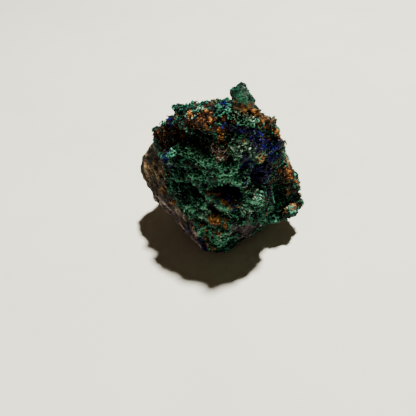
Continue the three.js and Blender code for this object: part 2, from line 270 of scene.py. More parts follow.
CRUST_HEIGHT = {"base": 0.62, "dome": 0.80, "ridge": 0.26, "bead": 0.42}
CRUST_SHADE = {"base": -0.30, "dome": 0.45, "ridge": 0.22, "bead": 0.80, "own": 0.30}
DOME_SIZE = 2.4
DOME_REACH = 0.82
BEAD_SIZE = 0.95
RIDGE_SIZE = 1.3
RIDGE_EDGE = 0.24
BARE_HEIGHT = {"base": 0.1, "slab": 0.50, "streak": 0.50, "chip": 0.36, "rim": 0.30, "crack": 0.30}
BARE_SHADE = {"base": 0.44, "slab": 0.35, "streak": 0.40, "chip": 0.75, "rim": 0.30, "crack": 0.40}
LEAST_STREAKS = 0.3
SWELL_HEIGHT = 0.40

# Where one look gives way to another: the two ends of each change, the ones of height in millimetres

FACE_EDGE = (-0.12, 0.30)
GREEN_PATCH_EDGE = (0.16, 0.40)
SPECK_EDGE = (0.40, 0.55)
FLANK_FOOT = (9.0, 15.0)
FLANK_FACING = (-0.35, 0.05)
GOLD_EDGE = (0.30, 0.50)
GOLD_FOOT = (8.0, 14.0)
RUST_EDGE = (0.30, 0.45)
BASE_EDGE = (0.15, 1.2)
# Painted shade: the share of open sky below which the rock is darkest, and above which it is not darkened
OPEN_SKY_EDGE = (0.08, 0.72)
CREST_EDGE = (32.0, 37.0)

# The rays that feel for the sky over a point, for the painted shade of hollows: how many, how long, and how
# far off the rock they start

SKY_RAYS = 12
SKY_REACH = 7.0
SKY_START = 0.25
GOLDEN_ANGLE = 2.399963
ACROSS_HELPER = np.array([0.3, 0.5, 0.81])

# Large numbers that scatter neighbouring cells, and the bits that are kept

CELL_FACTORS = (73856093, 19349663, 83492791)
SEED_FACTOR = 2654435761
FIRST_FACTOR = 2246822519
SECOND_FACTOR = 3266489917
WORD_BITS = 0xFFFFFFFF
NUMBER_BITS = 0xFFFFFF

TINY = 1e-9
FAR = 1e9


# Numbers that look random but come from a place in space

def hashed(cell, seed):
    """A number from 0 to 1 for each integer cell."""
    x, y, z = (cell[..., axis].astype(np.int64) * CELL_FACTORS[axis] for axis in range(3))
    mixed = (x ^ y ^ z ^ (seed * SEED_FACTOR)) & WORD_BITS
    mixed = ((mixed ^ (mixed >> 15)) * FIRST_FACTOR) & WORD_BITS
    mixed = ((mixed ^ (mixed >> 13)) * SECOND_FACTOR) & WORD_BITS
    mixed = mixed ^ (mixed >> 16)
    return (mixed & NUMBER_BITS) / float(NUMBER_BITS)


def smooth_noise(points, size, seed):
    """Noise from -1 to 1 whose waves are about size across."""
    place = points / size
    cell = np.floor(place)
    part = place - cell
    part = part * part * (3 - 2 * part)
    total = np.zeros(len(points))
    for corner in np.ndindex(2, 2, 2):
        step = np.array(corner)
        weight = np.prod(np.where(step == 1, part, 1 - part), axis=1)
        total += weight * hashed(cell + step, seed)
    return total * 2 - 1


def layered_noise(points, size, layers, seed):
    """Smooth noise with finer, weaker noise on it."""
    total = np.zeros(len(points))
    weight = 1.0
    for layer in range(layers):
        total += weight * smooth_noise(points, size / 2 ** layer, seed + layer)
        weight *= 0.5
    return total / 1.75


def cell_noise(points, size, seed):
    """Distances to the nearest and second nearest of scattered points, and the nearest one's number."""
    place = points / size
    cell = np.floor(place)
    nearest = np.full(len(points), FAR)
    second = np.full(len(points), FAR)
    number = np.zeros(len(points))
    for corner in np.ndindex(3, 3, 3):
        other = cell + np.array(corner) - 1
        jitter = np.stack([hashed(other, seed + axis) for axis in (1, 2, 3)], axis=1)
        distance = np.linalg.norm(other + jitter - place, axis=1)
        closer = distance < nearest
        second = np.where(closer, nearest, np.minimum(second, distance))
        number = np.where(closer, hashed(other, seed + 4), number)
        nearest = np.where(closer, distance, nearest)
    return nearest, second, number


def smooth_step(low, high, value):
    """0 below low, 1 above high, and a smooth change between them."""
    part = np.clip((value - low) / (high - low), 0, 1)
    return part * part * (3 - 2 * part)


def unit(ways):
    """The same directions with a length of 1."""
    return ways / np.maximum(np.linalg.norm(ways, axis=-1, keepdims=True), TINY)


# Meshes

def linked(name, data):
    """A new object in the scene."""
    thing = bpy.data.objects.new(name, data)
    bpy.context.scene.collection.objects.link(thing)
    return thing


def new_piece(name, points_mm, faces, material, layers, smooth=True):
    """An object in metres with its float layers, from points in millimetres, none of them below 0."""
    points_mm = np.column_stack([points_mm[:, :2], np.maximum(points_mm[:, 2], 0.0)])
    mesh = bpy.data.meshes.new(name)
    mesh.from_pydata((points_mm * MM).tolist(), [], faces.tolist())
    mesh.update()
    for layer_name, values in layers.items():
        layer = mesh.attributes.new(layer_name, "FLOAT", "POINT")
        layer.data.foreach_set("value", np.asarray(values, dtype=np.float32))
    mesh.polygons.foreach_set("use_smooth", [smooth] * len(mesh.polygons))
    mesh.materials.append(material)
    piece = linked(name, mesh)
    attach(piece, "root")
    return piece


def remeshed(node, voxel, smoothing):
    """A solid's surface in millimetres as an even, finely meshed skin."""
    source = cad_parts[node]
    copy = source.data.copy()
    copy.transform(source.matrix_world)
    copy.transform(Matrix.Scale(1 / MM, 4))
    work = linked("work", copy)
    remesh = work.modifiers.new("remesh", "REMESH")
    remesh.mode = "VOXEL"
    remesh.voxel_size = voxel
    relax = work.modifiers.new("relax", "SMOOTH")
    relax.factor = 0.5
    relax.iterations = smoothing
    graph = bpy.context.evaluated_depsgraph_get()
    result = bpy.data.meshes.new_from_object(work.evaluated_get(graph))
    bpy.data.objects.remove(work)
    points = np.empty(len(result.vertices) * 3)
    result.vertices.foreach_get("co", points)
    faces = np.array([tuple(face.vertices) for face in result.polygons])
    bpy.data.meshes.remove(result)
    return points.reshape(-1, 3), faces


def point_normals(points, faces):
    """Unit normals of the points of a mesh of quads."""
    across = points[faces[:, 2]] - points[faces[:, 0]]
    along = points[faces[:, 3]] - points[faces[:, 1]]
    face_normals = np.cross(across, along)
    normals = np.zeros_like(points)
    for corner in range(faces.shape[1]):
        np.add.at(normals, faces[:, corner], face_normals)
    return unit(normals)


def spread_over_edges(values, faces, rounds):
    """Values of the points averaged with their neighbours' values, several times."""
    corners = faces.shape[1]
    for _ in range(rounds):
        total = np.zeros_like(values)
        count = np.zeros(len(values))
        for corner in range(corners):
            ends = faces[:, corner], faces[:, (corner + 1) % corners]
            for here, there in (ends, ends[::-1]):
                np.add.at(total, here, values[there])
                np.add.at(count, here, 1)
        average = total / count.reshape(-1, *[1] * (values.ndim - 1))
        values = 0.5 * values + 0.5 * average
    return values


# Places on the rock

def pixel_ray(pixel):
    """The direction from the camera through a pixel of the photograph."""
    across, down = (np.array(pixel) - PICTURE_SIZE / 2) / FOCAL_PIXELS
    ray = VIEW_AHEAD + across * VIEW_RIGHT - down * VIEW_UP
    return ray / np.linalg.norm(ray)


def drop_on_rock(tree, pixels):
    """The places on the rock, in millimetres, that show at pixels of the photograph."""
    hits = [tree.ray_cast(Vector(CAMERA_AT), Vector(pixel_ray(pixel)))[0] for pixel in pixels]
    return [np.array(hit) for hit in hits if hit is not None]


def distance_to_path(points, path):
    """Distance of each point from a line through the places of a path."""
    if len(path) == 1:
        return np.linalg.norm(points - path[0], axis=1)
    best = np.full(len(points), FAR)
    for start, end in zip(path[:-1], path[1:]):
        run = end - start
        part = np.clip((points - start) @ run / max(run @ run, TINY), 0, 1)
        best = np.minimum(best, np.linalg.norm(points - start - part[:, None] * run, axis=1))
    return best


def patch_mask(points, tree, patches, seed, ragged=0.45):
    """How much of a mineral covers each point, from 0 to 1."""
    mask = np.zeros(len(points))
    edge = 1 + ragged * layered_noise(points, 1.3, 3, seed)
    for pixels, half_width in patches:
        path = drop_on_rock(tree, pixels)
        if path:
            near = distance_to_path(points, path) / (half_width * edge)
            mask = np.maximum(mask, 1 - smooth_step(0.8, 1.15, near))
    return mask


def flank_masks(points, tree):
    """1 on the bare flank, left of the broken edge, and 0 on the face; and 1 on the edge's own thin rim."""
    edge = drop_on_rock(tree, FLANK_EDGE)
    steps = []
    for start, end in zip(edge[:-1], edge[1:]):
        steps += [start + (end - start) * part for part in np.linspace(0, 1, 8)]
    steps = np.array(steps)
    apart = np.linalg.norm(points[:, None, :] - steps[None, :, :], axis=2)
    nearest = np.argmin(apart, axis=1)
    beyond = (points - steps[nearest]) @ FLANK_WAY + 0.5 * layered_noise(points, 2.2, 3, seed=40)
    rim = 1 - smooth_step(0.25, 0.6, np.abs(beyond - 0.3))
    rim *= 1 - smooth_step(1.5, 3.0, apart.min(axis=1))
    return smooth_step(-0.2, 0.5, beyond), rim


def mottled(mask, points, cover, seed):
    """The mask broken up into grains, of which about the share cover stays."""
    _, _, number = cell_noise(points, GRAIN_SIZE, seed)
    return mask * smooth_step(0.0, 0.12, number - (1 - cover))


def openness(points, normals, tree):
    """The share of the sky over each point that no part of the rock hides."""
    turn = np.arange(SKY_RAYS) * GOLDEN_ANGLE
    rise = (np.arange(SKY_RAYS) + 0.5) / SKY_RAYS
    flat = np.sqrt(1 - rise ** 2)
    rays = np.stack([flat * np.cos(turn), flat * np.sin(turn), rise], axis=1)
    first = unit(np.cross(normals, ACROSS_HELPER))
    second = np.cross(normals, first)
    starts = points + SKY_START * normals
    free = np.zeros(len(points))
    for ray in rays:
        ways = ray[0] * first + ray[1] * second + ray[2] * normals
        free += [tree.ray_cast(start, way, SKY_REACH)[0] is None for start, way in zip(starts, ways)]
    return free / SKY_RAYS


# Materials

def linear(red, green, blue):
    """A colour as seen on a screen, from 0 to 255, as Blender wants it."""
    def channel(value):
        value /= 255
        return value / 12.92 if value <= 0.04045 else ((value + 0.055) / 1.055) ** 2.4
    return (channel(red), channel(green), channel(blue), 1.0)


# The reflection of a dull, weathered surface, half or less of a polished one's

DULLNESS = 0.14

# The sharpness of the noise in every material

NOISE_ROUGHNESS = 0.6


class Nodes:
    """A short way to write a material's nodes."""

    def __init__(self, name, roughness):
        self.material = bpy.data.materials.new(name)
        self.material.use_nodes = True
        self.tree = self.material.node_tree
        self.tree.nodes.clear()
        self.shader = self.add("BsdfPrincipled")
        self.shader.inputs["Specular IOR Level"].default_value = DULLNESS
        self.shader.inputs["Roughness"].default_value = roughness
        output = self.add("OutputMaterial")
        self.join(self.shader.outputs["BSDF"], output.inputs["Surface"])
        self.place = self.add("TexCoord").outputs["Object"]

    def add(self, kind):
        return self.tree.nodes.new("ShaderNode" + kind)

    def join(self, out, into):
        self.tree.links.new(out, into)

    def feed(self, value, into):
        """Joins a socket, or sets a constant."""
        if isinstance(value, bpy.types.NodeSocket):
            self.join(value, into)
        else:
            into.default_value = value

    def layer(self, name):
        node = self.add("Attribute")
        node.attribute_name = name
        return node.outputs["Fac"]

    def noise(self, size_mm, detail=2.0):
        node = self.add("TexNoise")
        node.inputs["Scale"].default_value = 1 / (size_mm * MM)
        node.inputs["Detail"].default_value = detail
        node.inputs["Roughness"].default_value = NOISE_ROUGHNESS
        self.join(self.place, node.inputs["Vector"])
        return node.outputs["Fac"]

    def cells(self, size_mm):
        node = self.add("TexVoronoi")
        node.inputs["Scale"].default_value = 1 / (size_mm * MM)
        self.join(self.place, node.inputs["Vector"])
        return node.outputs["Distance"]

    def ramp(self, value, stops):
        node = self.add("ValToRGB")
        while len(node.color_ramp.elements) < len(stops):
            node.color_ramp.elements.new(0.5)
        for element, (position, colour) in zip(node.color_ramp.elements, stops):
            element.position = position
            element.color = colour
        self.join(value, node.inputs["Fac"])
        return node.outputs["Color"]

    def mix(self, factor, first, second):
        node = self.add("Mix")
        node.data_type = "RGBA"
        self.feed(factor, node.inputs[0])
        self.feed(first, node.inputs[6])
        self.feed(second, node.inputs[7])
        return node.outputs[2]

    def maths(self, operation, first, second, clamp=False):
        node = self.add("Math")
        node.operation = operation
        node.use_clamp = clamp
        self.feed(first, node.inputs[0])
        self.feed(second, node.inputs[1])
        return node.outputs[0]

    def varied(self, value, noise, strength, clamp=False):
        """The value made lighter and darker by a noise."""
        wave = self.maths("SUBTRACT", noise, 0.5)
        return self.maths("ADD", value, self.maths("MULTIPLY", wave, strength), clamp)

    def paint(self, colour):
        self.join(colour, self.shader.inputs["Base Color"])

    def bump(self, height, depth_mm, strength):
        node = self.add("Bump")
        node.inputs["Strength"].default_value = strength
        node.inputs["Distance"].default_value = depth_mm * MM
        self.join(height, node.inputs["Height"])
        self.join(node.outputs["Normal"], self.shader.inputs["Normal"])


def colour_stops(*rows):
    """The stops of a colour ramp from rows of a position, red, green and blue."""
    return [(position, linear(*colour)) for position, *colour in rows]


# Each mineral's colours, from the painted shade of its darkest gaps to the painted light of its lightest
# tips, and the table's

MALACHITE_RAMP = colour_stops(
    (0.0, 3, 8, 7), (0.25, 9, 37, 30), (0.5, 27, 83, 65), (0.75, 54, 124, 97), (1.0, 102, 166, 136),
)
AZURITE_RAMP = colour_stops((0.0, 1, 1, 8), (0.45, 4, 3, 42), (0.8, 13, 9, 98), (1.0, 42, 42, 164))
MINERAL_RAMPS = {
    "ironstone": colour_stops((0.0, 8, 6, 5), (0.4, 38, 29, 23), (0.7, 78, 60, 46), (1.0, 136, 110, 84)),
    "flank": colour_stops((0.0, 5, 4, 3), (0.35, 26, 22, 16), (0.7, 66, 54, 40), (1.0, 136, 116, 86)),
    "pale": colour_stops((0.0, 4, 8, 8), (0.3, 30, 54, 46), (0.7, 92, 130, 112), (1.0, 172, 200, 180)),
    "grey": colour_stops((0.0, 12, 10, 12), (0.4, 54, 46, 50), (0.75, 98, 86, 90), (1.0, 160, 150, 150)),
    "tan": colour_stops((0.0, 22, 15, 9), (0.4, 96, 72, 46), (0.75, 150, 118, 78), (1.0, 194, 164, 120)),
    "red_brown": colour_stops((0.0, 8, 4, 3), (0.35, 56, 30, 14), (0.7, 116, 67, 32), (1.0, 178, 120, 68)),
    "limonite": colour_stops((0.0, 8, 5, 3), (0.35, 64, 38, 15), (0.7, 140, 90, 38), (1.0, 204, 154, 84)),
    "orange": colour_stops((0.0, 30, 16, 6), (0.35, 126, 76, 28), (0.7, 186, 128, 62), (1.0, 228, 190, 132)),
    "azurite": AZURITE_RAMP,
}
FLOOR_RAMP = colour_stops((0.3, 222, 221, 204), (0.7, 228, 227, 210))


def laid_over(nodes, shade, minerals):
    """Malachite with the other minerals laid over it by their masks, all of one shade."""
    colour = nodes.ramp(shade, MALACHITE_RAMP)
    for name in minerals:
        colour = nodes.mix(nodes.layer(name), colour, nodes.ramp(shade, MINERAL_RAMPS[name]))
    return colour


def rock_material():
    """The rock's surface: painted light on its tips, and painted shade, nearly black, in its gaps and deep
    in its hollows.
    """
    dull = 0.78
    nodes = Nodes("rock_minerals", dull)
    shade = nodes.varied(nodes.layer("tone_and_painted_shade"), nodes.noise(0.42), 1.1)
    shade = nodes.varied(shade, nodes.noise(2.6, detail=3.0), 0.5)
    # Painted shade: the rock darkened where it hides its own sky, nearly black deep in hollows
    shade = nodes.maths("MULTIPLY", shade, nodes.layer("open"), clamp=True)
    nodes.paint(laid_over(nodes, shade, MINERAL_RAMPS))
    glossy = nodes.maths("MULTIPLY", nodes.layer("azurite"), 0.42)
    nodes.join(nodes.maths("SUBTRACT", dull, glossy), nodes.shader.inputs["Roughness"])
    height = nodes.maths("ADD", nodes.noise(0.5, detail=3.0), nodes.cells(0.45))
    nodes.bump(height, depth_mm=0.25, strength=1.0)
    return nodes.material


def growth_shade(nodes, tip_share, grain_mm, grain_strength):
    """A growth's own lightness with its painted light and shade, lighter at its tip, with a fine grain."""
    shade = nodes.maths("ADD", nodes.layer("own"), nodes.maths("MULTIPLY", nodes.layer("tone_and_painted_shade"), tip_share))
    return nodes.varied(shade, nodes.noise(grain_mm), grain_strength, clamp=True)


def growth_material(name, minerals, roughness):
    """What stands on the rock, each growth with a lightness of its own that carries painted light and shade.
    """
    nodes = Nodes(name, roughness)
    nodes.paint(laid_over(nodes, growth_shade(nodes, 0.5, 0.3, 0.7), minerals))
    nodes.bump(nodes.noise(0.28), depth_mm=0.08, strength=0.8)
    return nodes.material


def crystal_material():
    """Azurite: nearly black, with deep blue glints on its faces, partly painted highlights towards each
    crystal's tip and partly its gloss.
    """
    nodes = Nodes("azurite_crystals", 0.4)
    nodes.paint(nodes.ramp(growth_shade(nodes, 0.35, 0.5, 0.6), AZURITE_RAMP))
    nodes.bump(nodes.noise(0.2), depth_mm=0.03, strength=0.6)
    return nodes.material


def floor_material():
    """The pale table."""
    nodes = Nodes("pale_floor", 0.85)
    nodes.paint(nodes.ramp(nodes.noise(40.0), FLOOR_RAMP))
    return nodes.material


# The rock's skin

def crust_relief(points, rounded):
    """The malachite crust: domes, bent ridges on them, and beads. Height in millimetres, and a shade of
    painted light on the raised forms and painted shade in the gaps, with a tone of each bead's own.
    """
    drift = [layered_noise(points, 2.0, 2, seed) for seed in (51, 52, 53)]
    bent = points + 0.55 * np.stack(drift, axis=1)
    near, _, number = cell_noise(bent, DOME_SIZE, seed=50)
    domes = np.sqrt(np.clip(1 - (near / DOME_REACH) ** 2, 0, 1))
    ridges = 1 - smooth_step(0.0, RIDGE_EDGE, np.abs(layered_noise(bent, RIDGE_SIZE, 2, seed=57)))
    bead_near, _, bead_number = cell_noise(points, BEAD_SIZE, seed=55)
    beads = 0.5 - bead_near
    domes = domes * (0.75 + 0.5 * number) * (1 - rounded) + 0.8 * rounded
    height = CRUST_HEIGHT["dome"] * domes + CRUST_HEIGHT["ridge"] * ridges + CRUST_HEIGHT["bead"] * beads
    shade = CRUST_SHADE["base"] + CRUST_SHADE["dome"] * domes + CRUST_SHADE["ridge"] * ridges
    shade = shade + CRUST_SHADE["bead"] * beads + CRUST_SHADE["own"] * (bead_number - 0.5)
    return height - CRUST_HEIGHT["base"], shade


def bare_relief(points, flank, rim):
    """The bare rock: slabs everywhere, and thin layers along the broken edge of the flank; its shade is
    lighter where it stands up, as painted light, and darker in its cracks, beside the layers' own tone.
    """
    outward = np.cross(FLANK_ACROSS, FLANK_ALONG)
    bend = 0.7 * layered_noise(points, 3.0, 2, seed=92)
    bent = points + bend[:, None] * FLANK_ACROSS
    sheets = np.stack([bent @ FLANK_ACROSS, bent @ FLANK_ALONG * 0.3, bent @ outward * 0.6], axis=1)
    streaks = layered_noise(sheets, 1.1, 3, seed=90)
    slabs = layered_noise(points, 3.0, 4, seed=80)
    chips = layered_noise(points, 1.0, 3, seed=85)
    cracks = 1 - smooth_step(0.0, 0.10, np.abs(layered_noise(sheets + 40, 2.0, 2, seed=95)))
    near, _, number = cell_noise(points, 1.7, seed=97)
    cracks = np.maximum(cracks, (1 - smooth_step(0.15, 0.40, near)) * (number > 0.75 - 0.3 * flank))
    streaky = np.maximum(flank, LEAST_STREAKS)
    height = BARE_HEIGHT["slab"] * slabs + BARE_HEIGHT["streak"] * streaks * streaky
    height = height + BARE_HEIGHT["chip"] * chips + BARE_HEIGHT["rim"] * rim
    height = height - BARE_HEIGHT["crack"] * cracks - BARE_HEIGHT["base"]
    shade = BARE_SHADE["base"] + BARE_SHADE["streak"] * streaks * streaky + BARE_SHADE["slab"] * slabs
    shade = shade + BARE_SHADE["chip"] * chips + BARE_SHADE["rim"] * rim - BARE_SHADE["crack"] * cracks
    return height, shade, streaks


def mineral_masks(points, tree, facing, face, flank, smooth, streaks):
    """How much of each mineral but malachite shows at each point, from 0 to 1."""
    green_patches = smooth_step(*GREEN_PATCH_EDGE, layered_noise(points, 4.5, 3, seed=11))
    green_specks = smooth_step(*SPECK_EDGE, layered_noise(points, 1.6, 3, seed=25))
    green_specks *= 1 - flank * (1 - 0.7 * smooth_step(*FLANK_FOOT, points[:, 2]))
    ragged_height = points[:, 2] + 6.0 * layered_noise(points, 5.0, 3, seed=49)
    low_flank = flank * (1 - smooth_step(*FLANK_FOOT, ragged_height))
    bare_back = (1 - face) * (1 - 0.85 * green_patches) * (1 - smooth)
    masks = {
        "ironstone": np.maximum(bare_back, 0.9 * flank) * (1 - green_specks),
        "flank": flank * smooth_step(*FLANK_FACING, facing) * (1 - 0.8 * green_specks),
        "pale": patch_mask(points, tree, PALE_AND_LIT_GREEN, seed=2),
        "grey": np.maximum(patch_mask(points, tree, GREY_MATRIX, seed=3, ragged=0.8), 0.9 * low_flank),
    }
    for name, (patches, ragged, cover, seed) in GRAINS.items():
        patch = patch_mask(points, tree, patches, seed, ragged)
        masks[name] = mottled(patch, points, cover, GRAIN_SEED + seed)
    gold = flank * smooth_step(*GOLD_EDGE, streaks) * smooth_step(*GOLD_FOOT, points[:, 2])
    masks["tan"] = np.maximum(masks["tan"], 0.4 * gold)
    rusty = flank * smooth_step(*RUST_EDGE, layered_noise(points, 2.0, 3, seed=27))
    masks["red_brown"] = np.maximum(masks["red_brown"], 0.7 * rusty)
    specks = smooth_step(*SPECK_EDGE, layered_noise(points, 1.5, 3, seed=21)) * face * (1 - flank)
    masks["red_brown"] = np.maximum(masks["red_brown"], 0.8 * specks)
    return masks


def make_skin():
    """The rock's surface in millimetres, raised and let in, with its mineral masks and its painted light and
    shade.
    """
    points, faces = remeshed("rock", SKIN_VOXEL, SKIN_SMOOTHING)
    normals = point_normals(points, faces)
    broad_normals = unit(spread_over_edges(normals, faces, BROAD_ROUNDS))
    tree = BVHTree.FromPolygons(points.tolist(), faces.tolist())

    facing = broad_normals @ FACE_WAY
    face = smooth_step(*FACE_EDGE, facing + 0.30 * layered_noise(points, 5.0, 3, seed=7))
    flank, rim = flank_masks(points, tree)
    smooth = patch_mask(points, tree, SMOOTH, seed=9)
    bright_and_lit = patch_mask(points, tree, BRIGHT_AND_LIT_GREEN, seed=1)
    bare_height, bare_shade, streaks = bare_relief(points, flank, rim)
    crust_height, crust_shade = crust_relief(points, patch_mask(points, tree, ROUND, seed=10, ragged=0.2))
    masks = mineral_masks(points, tree, facing, face, flank, smooth, streaks)

    crusted = np.clip(1 - np.maximum(flank, 1 - face), 0, 1) * (1 - 0.75 * smooth)
    height = crust_height * crusted + bare_height * (1 - crusted)
    height = height + SWELL_HEIGHT * layered_noise(points, 3.8, 3, seed=30)
    height = height * smooth_step(*BASE_EDGE, points[:, 2])
    for pixels, half_width, rise in BUILT_UP:
        height += rise * patch_mask(points, tree, [(pixels, half_width)], seed=12, ragged=0.2)
    # Painted light and shade: lighter where the rock stands up, darker in its gaps, beside its own tones;
    # lighter still on the bright, lit green, partly painted light, and on the pale green
    shade = crust_shade * crusted + bare_shade * (1 - crusted)
    shade += 0.08 * bright_and_lit * crusted + 0.14 * masks["pale"] * crusted

    # Painted shade in gaps and hollows: each point darkened by how much of its sky the rock hides, lifted
    # where LIT and the bright, lit green say light reaches
    open_sky = spread_over_edges(openness(points, broad_normals, tree), faces, SKY_ROUNDS)
    lit = np.maximum(patch_mask(points, tree, LIT, seed=13), bright_and_lit)
    layers = dict(masks)
    layers["tone_and_painted_shade"] = shade
    layers["open"] = np.maximum(smooth_step(*OPEN_SKY_EDGE, open_sky) * 0.92 + 0.08, 0.9 * lit)
    fine = smooth * (1 - flank) * (1 - (1 - face) * masks["tan"])
    points = points + normals * height[:, None]
    points[:, 2] = np.maximum(points[:, 2], 0.0)
    return points, faces, layers, {"crusted": crusted, "bright_and_lit": bright_and_lit, "fine": fine}


# The growths on the skin

class Ground:
    """The middles and up directions of the skin's faces, with the masks there."""

    def __init__(self, skin, faces, masks):
        corners = skin[faces]
        across = corners[:, 2] - corners[:, 0]
        along = corners[:, 3] - corners[:, 1]
        self.areas = 0.5 * np.linalg.norm(np.cross(across, along), axis=1)
        self.middles = corners.mean(axis=1)
        self.ups = unit(point_normals(skin, faces)[faces].mean(axis=1))
        self.tones = {name: values[faces].mean(axis=1) for name, values in masks.items()}

    def chosen(self, weight, count, apart):
        """Faces picked by weight, of which no two share a cell as wide as apart."""
        chance = self.areas * np.clip(weight, 0, None) * (self.middles[:, 2] > LOWEST_GROWTH)
        order = RANDOM.choice(len(chance), size=min(count * 4, int((chance > 0).sum())), replace=False,
                              p=chance / chance.sum())
        taken = set()
        kept = []
        for index in order:
            cell = tuple(np.floor(self.middles[index] / apart).astype(int))
            if cell in taken:
                continue
            taken.add(cell)
            kept.append(index)
            if len(kept) == count:
                break
        return np.array(kept)

    def lightness(self, spots, low, high):
        """How light the growths are: painted light on the domes, painted shade in the gaps and hollows, with
        a random tone of each.
        """
        here = {name: values[spots] for name, values in self.tones.items()}
        tone = 0.6 * here["tone_and_painted_shade"] + 0.32 * here["bright_and_lit"] + 0.26 * here["pale"]
        tone -= 0.28 * here["fine"] + 0.09 * smooth_step(*CREST_EDGE, self.middles[spots, 2])
        tone += RANDOM.uniform(low, high, len(spots)) - 0.05
        return np.minimum(tone, LIGHTEST) * here["open"]

    def minerals(self, spots):
        """One mineral for each crumb, drawn by the masks where it stands; malachite where none is drawn.

        The last draw goes unused, so that the draws that follow keep their order.
        """
        draw = RANDOM.uniform(0.0, 1.0, len(spots))
        free = np.ones(len(spots))
        shares = {}
        for mineral in OTHER_MINERALS:
            taken = free * (draw < 0.8 * self.tones[mineral][spots])
            shares[mineral] = taken
            free = free * (1 - taken)
            draw = RANDOM.uniform(0.0, 1.0, len(spots))
        return shares


def pick_spots(ground):
    """The faces of the skin on which curls, crumbs and crystals stand."""
    tones = ground.tones
    crust = np.where(tones["crusted"] > 0.3, tones["crusted"], 0)
    other = np.maximum.reduce([tones[kind] for kind in OTHER_MINERALS])
    top = 0.35 + np.clip(ground.ups[:, 2], 0, 1)
    green = crust * (1 - other) * (0.15 + 1.2 * tones["bright_and_lit"] + 0.6 * tones["pale"]) * top
    crumby = (crust + 0.8 * tones["fine"]) * (1 - tones["azurite"]) * (0.5 + 0.5 * tones["open"])
    curls = ground.chosen(green * np.clip(0.3 + tones["tone_and_painted_shade"], 0, 1), CURL_COUNT, CURL_SPACING)
    crumbs = ground.chosen(crumby, CRUMB_COUNT, CRUMB_SPACING)
    crystals = ground.chosen(tones["azurite"], CRYSTAL_COUNT, CRYSTAL_SPACING)
    return curls, crumbs, crystals


def side_ways(ups):
    """Two unit directions across each up direction, turned at random."""
    first = unit(np.cross(ups, RANDOM.normal(size=ups.shape)))
    return first, np.cross(ups, first)


def ball(subdivisions):
    """A unit ball's points and triangles."""
    work = bmesh.new()
    bmesh.ops.create_icosphere(work, subdivisions=subdivisions, radius=1.0)
    points = np.array([vertex.co[:] for vertex in work.verts])
    faces = np.array([[vertex.index for vertex in face.verts] for face in work.faces])
    work.free()
    return points, faces


def repeated(block, count, points_each):
    """The faces of count copies of one shape."""
    return (block[None] + (np.arange(count) * points_each)[:, None, None]).reshape(-1, block.shape[1])


def place_crumbs(name, at, ups, radii, material, own, minerals):
    """Rough crumbs on the rock, joined in one piece, each of one mineral."""
    shape, shape_faces = ball(CRUMB_DETAIL)
    count = len(at)
    first, second = side_ways(ups)
    stretch = RANDOM.uniform(*CRUMB_STRETCH, size=(count, 3))
    arms = shape[None] * stretch[:, None, :]
    places = shape[None] * 1.3 + np.arange(count)[:, None, None] * 7.7
    bumps = 1 + CRUMB_BUMPS * smooth_noise(places.reshape(-1, 3), 0.9, seed=5)
    arms = arms * bumps.reshape(count, -1, 1) * radii[:, None, None]
    turned = arms[..., :1] * first[:, None] + arms[..., 1:2] * second[:, None] + arms[..., 2:] * ups[:, None]
    points = (at + ups * (radii * (1 - 2 * CRUMB_SINK))[:, None])[:, None] + turned
    # Painted light and shade: each crumb lighter on top and darker underneath
    tone_and_painted_shade = np.clip(0.5 + 0.5 * arms[..., 2] / radii[:, None], 0, 1)
    layers = {"tone_and_painted_shade": tone_and_painted_shade.ravel(), "own": np.repeat(own, len(shape))}
    for mineral, share in minerals.items():
        layers[mineral] = np.repeat(share, len(shape))
    new_piece(name, points.reshape(-1, 3), repeated(shape_faces, count, len(shape)), material, layers)


def place_curls(name, at, ups, lengths, radii, material, own, pale):
    """Little bent worms of malachite: each a six-sided tube along an arc that stands on the rock."""
    rings = CURL_RINGS
    sides = CURL_SIDES
    count = len(at)
    first, second = side_ways(ups)
    bend = RANDOM.uniform(*CURL_BENDS, size=count)
    along = np.linspace(0, 1, rings)
    angle = (along[None] - 0.5) * bend[:, None]
    size = lengths / bend
    offset_along = size[:, None] * np.sin(angle)
    offset_up = size[:, None] * (np.cos(angle) - np.cos(bend[:, None] / 2))
    lean = RANDOM.uniform(*CURL_LEANS, size=count)
    rise = np.cos(lean)[:, None] * ups + np.sin(lean)[:, None] * second
    spine = at[:, None] + offset_along[..., None] * first[:, None] + offset_up[..., None] * rise[:, None]
    spine += CURL_WOBBLE * RANDOM.normal(size=spine.shape)
    run = unit(np.gradient(spine, axis=1))
    out = unit(np.cross(run, np.broadcast_to(np.cross(first, rise)[:, None], run.shape)))
    side = np.cross(run, out)
    thick = radii[:, None] * np.sqrt(np.clip(1 - (2 * along - 1) ** 4, 0.05, 1))[None]
    thick = thick * RANDOM.uniform(*CURL_THICKNESS, size=thick.shape)
    turn = np.linspace(0, 2 * math.pi, sides, endpoint=False)
    circle = out[:, :, None] * np.cos(turn)[:, None] + side[:, :, None] * np.sin(turn)[:, None]
    tube = spine[:, :, None] + circle * thick[..., None, None]
    each = rings * sides
    points = tube.reshape(count, each, 3)
    quads = []
    for ring in range(rings - 1):
        for step in range(sides):
            here = ring * sides + step
            beside = ring * sides + (step + 1) % sides
            quads.append([here, beside, beside + sides, here + sides])
    caps = np.array([[0, 5, 4, 3], [0, 3, 2, 1]])
    ends = np.concatenate([caps, (rings - 1) * sides + caps[:, ::-1]])
    faces = repeated(np.concatenate([np.array(quads), ends]), count, each)
    # Painted light and shade: each curl lighter towards its top and darker at its foot
    up_part = np.einsum("ijk,ik->ij", points - at[:, None], ups)
    tone_and_painted_shade = np.clip(0.25 + 0.6 * up_part / np.maximum(lengths * 0.5, 0.2)[:, None], 0, 1)
    layers = {"tone_and_painted_shade": tone_and_painted_shade.ravel(), "own": np.repeat(own, each), "pale": np.repeat(pale, each)}
    new_piece(name, points.reshape(-1, 3), faces, material, layers)


